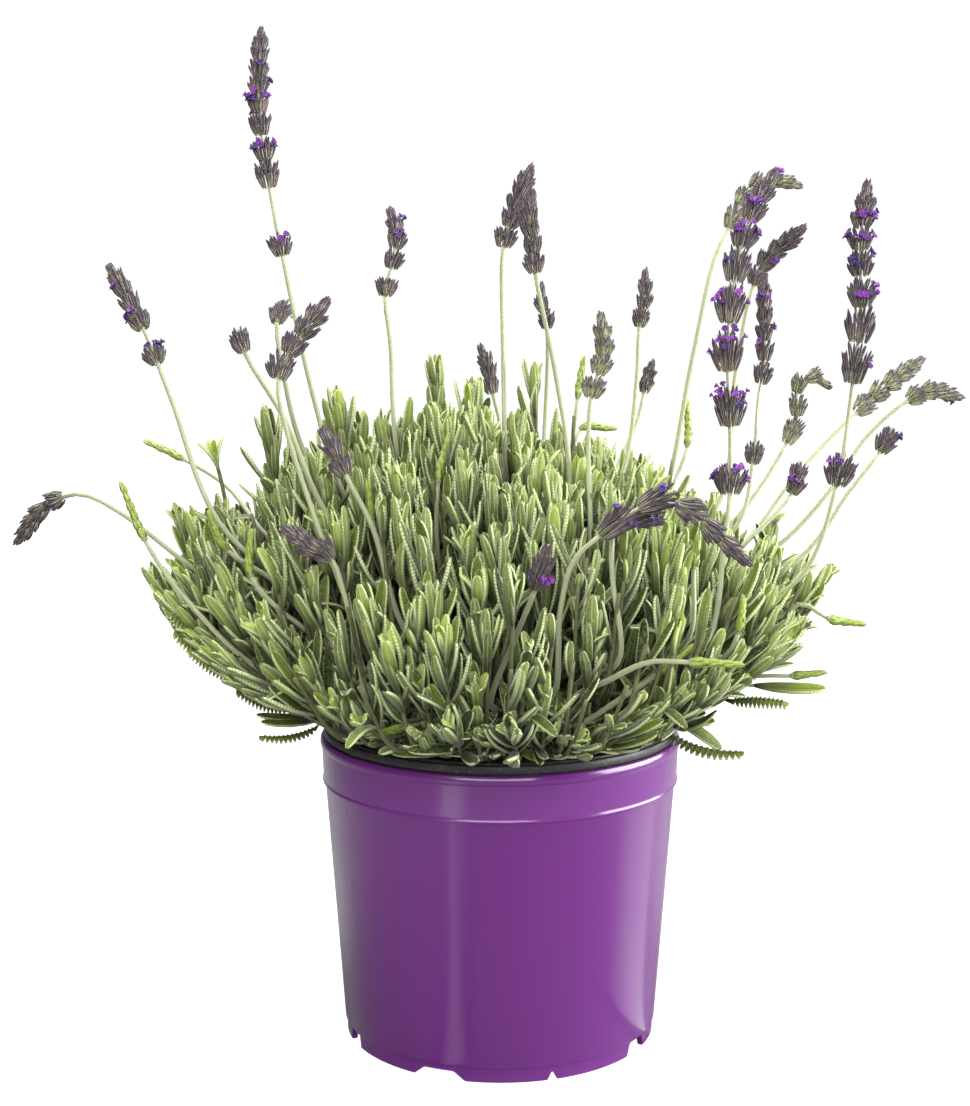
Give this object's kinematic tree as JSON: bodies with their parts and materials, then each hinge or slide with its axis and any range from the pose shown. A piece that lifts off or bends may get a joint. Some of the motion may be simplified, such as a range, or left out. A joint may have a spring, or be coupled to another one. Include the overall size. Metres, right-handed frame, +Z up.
{
  "type": "potted lavender",
  "caption": "Bushy toothed-leaf lavender in a black growing pot nested in a glossy purple pot, with flower spikes on long curving stalks.",
  "frame": {"origin": "centre of the plane that the pot's foot stands on, on the pot's axis", "axes": "+Z up along the pot's axis, +Y away from the viewer of the picture, +X to that viewer's right"},
  "size_m": [0.3486, 0.2696, 0.3624],
  "materials": {
    "pot": "gloss",
    "liner": "satin",
    "soil": "matte",
    "foliage": "matte",
    "flower": "matte"
  },
  "bodies": {
    "root": {"flower_head_arch_big": "flower", "flower_head_arch_small": "flower", "flower_head_arching_back": "flower", "flower_head_bent_left": "flower", "flower_head_bent_right": "flower", "flower_head_big_right": "flower", "flower_head_brown_back": "flower", "flower_head_dark_left": "flower", "flower_head_far_left": "flower", "flower_head_far_right": "flower", "flower_head_front_small": "flower", "flower_head_green_topped": "flower", "flower_head_leaning_left": "flower", "flower_head_leaning_right": "flower", "flower_head_middle_behind": "flower", "flower_head_middle_left": "flower", "flower_head_middle_right": "flower", "flower_head_middle_tall": "flower", "flower_head_outer_left": "flower", "flower_head_right_middle": "flower", "flower_head_right_of_middle": "flower", "flower_head_round_back": "flower", "flower_head_round_left": "flower", "flower_head_slanting_right": "flower", "flower_head_small_back": "flower", "flower_head_small_far_right": "flower", "flower_head_small_right": "flower", "flower_head_tall_left": "flower", "flower_head_tall_right": "flower", "leafy_stem_01": "foliage", "leafy_stem_02": "foliage", "leafy_stem_03": "foliage", "leafy_stem_04": "foliage", "leafy_stem_05": "foliage", "leafy_stem_06": "foliage", "leafy_stem_07": "foliage", "leafy_stem_08": "foliage", "leafy_stem_09": "foliage", "leafy_stem_10": "foliage", "leafy_stem_11": "foliage", "leafy_stem_12": "foliage", "leafy_stem_13": "foliage", "leafy_stem_14": "foliage", "leafy_stem_15": "foliage", "leafy_stem_16": "foliage", "leafy_stem_17": "foliage", "leafy_stem_18": "foliage", "leafy_stem_19": "foliage", "leafy_stem_20": "foliage", "leafy_stem_21": "foliage", "leafy_stem_22": "foliage", "leafy_stem_23": "foliage", "leafy_stem_24": "foliage", "leafy_stem_25": "foliage", "leafy_stem_26": "foliage", "leafy_stem_27": "foliage", "leafy_stem_28": "foliage", "liner": "liner", "pot": "pot", "soil": "soil"}
  },
  "joints": []
}
